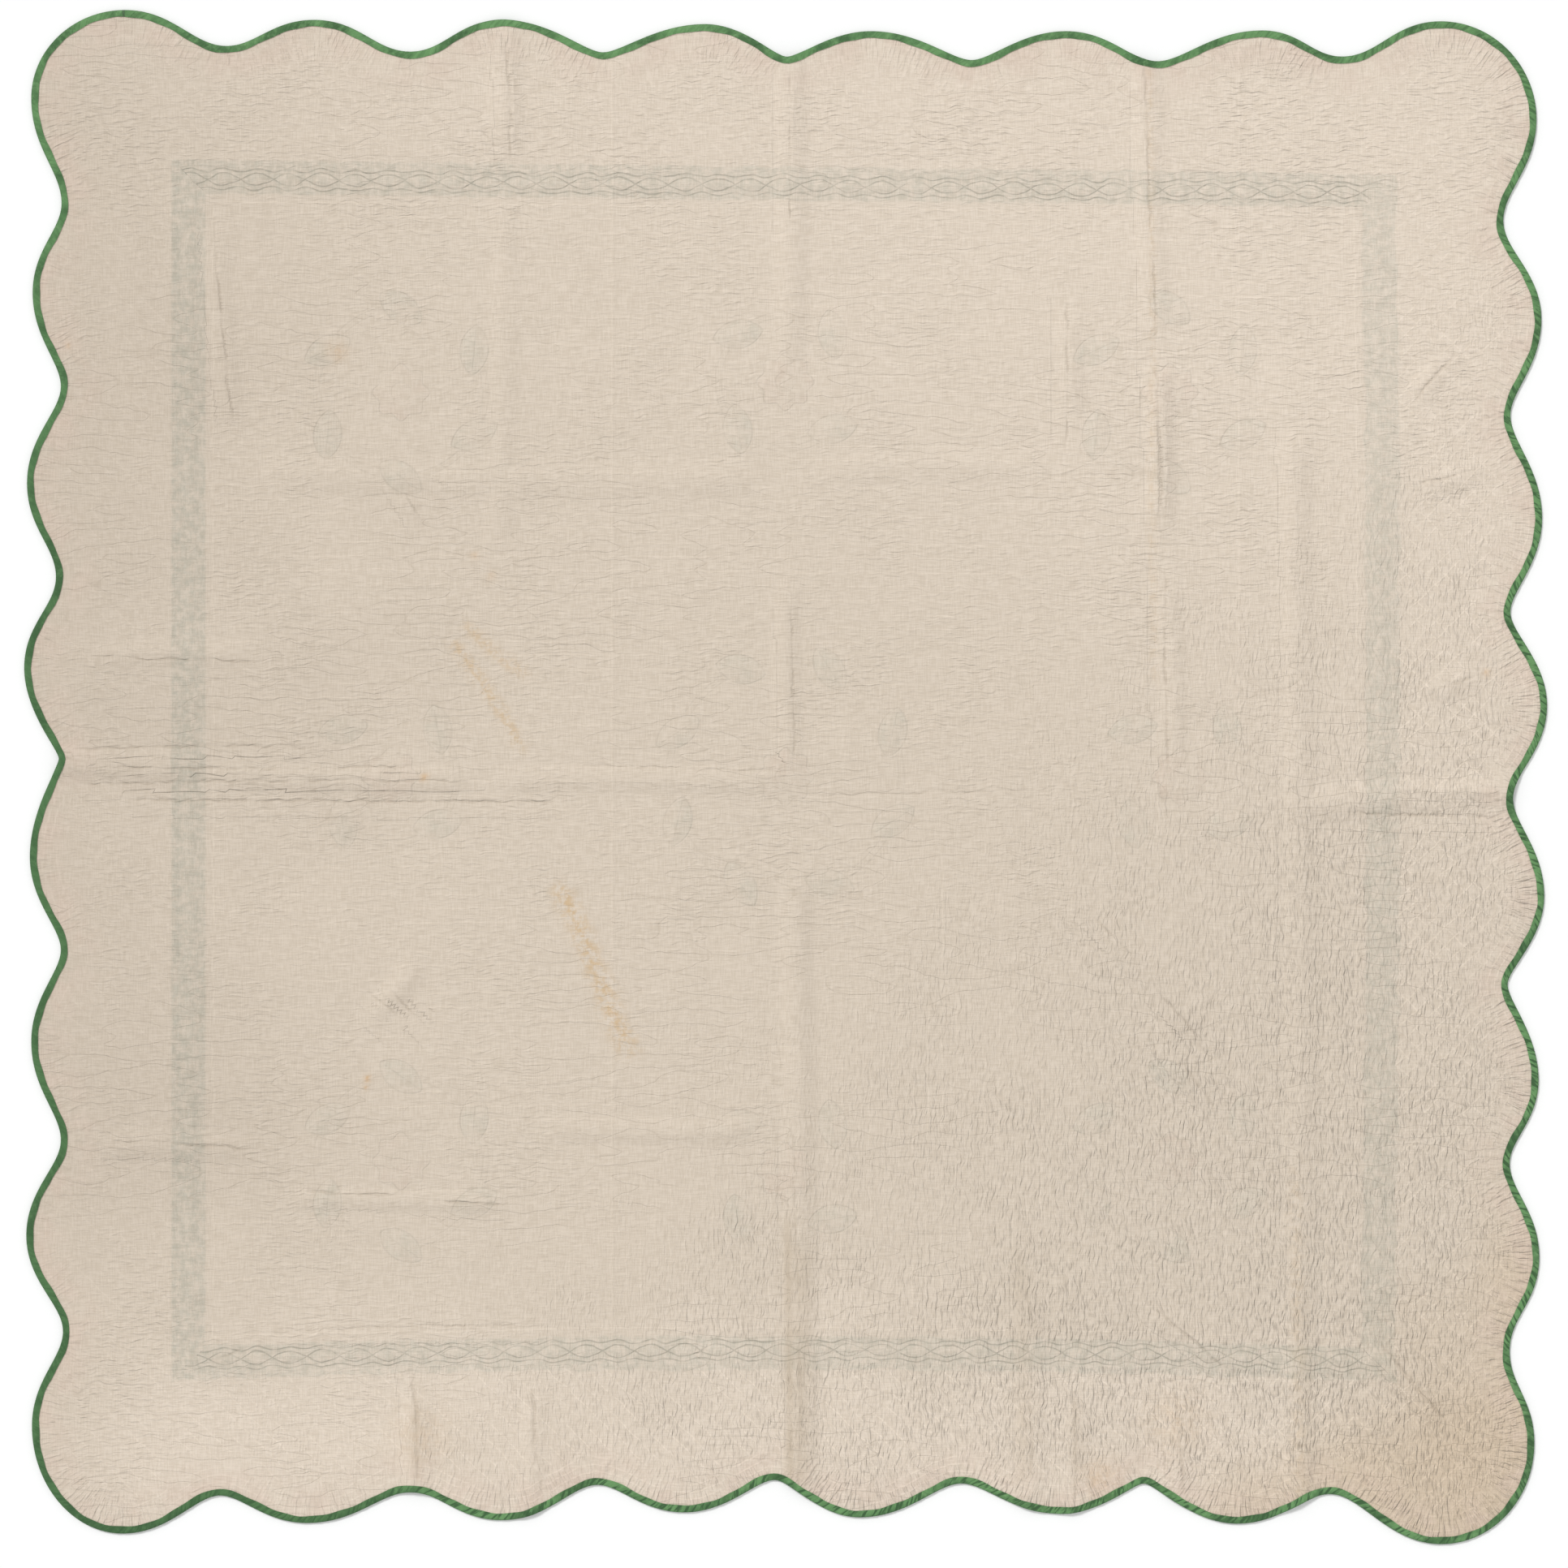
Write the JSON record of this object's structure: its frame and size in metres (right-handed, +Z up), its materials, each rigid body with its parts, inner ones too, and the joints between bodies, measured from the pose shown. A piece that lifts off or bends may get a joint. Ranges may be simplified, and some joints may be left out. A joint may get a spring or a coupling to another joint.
{
  "type": "quilt",
  "caption": "Square hand-quilted cotton quilt lying flat with its back up: scalloped edges, narrow green bias binding, pieced cream backing, cable-quilted frame and storage creases.",
  "frame": {"origin": "middle of the quilt's bounding box, on the surface that it lies on", "axes": "+Z up, out of the shown back; +Y towards the picture's upper edge; +X towards its right edge"},
  "size_m": [2.16, 2.176, 0.0104],
  "materials": {
    "muslin": "aged natural cotton muslin, matte, softly crinkled",
    "green_bias": "washed green cotton, matte"
  },
  "bodies": {
    "root": {"backing_left": "muslin", "backing_centre": "muslin", "backing_right": "muslin", "edge_binding": "green_bias"}
  },
  "joints": []
}
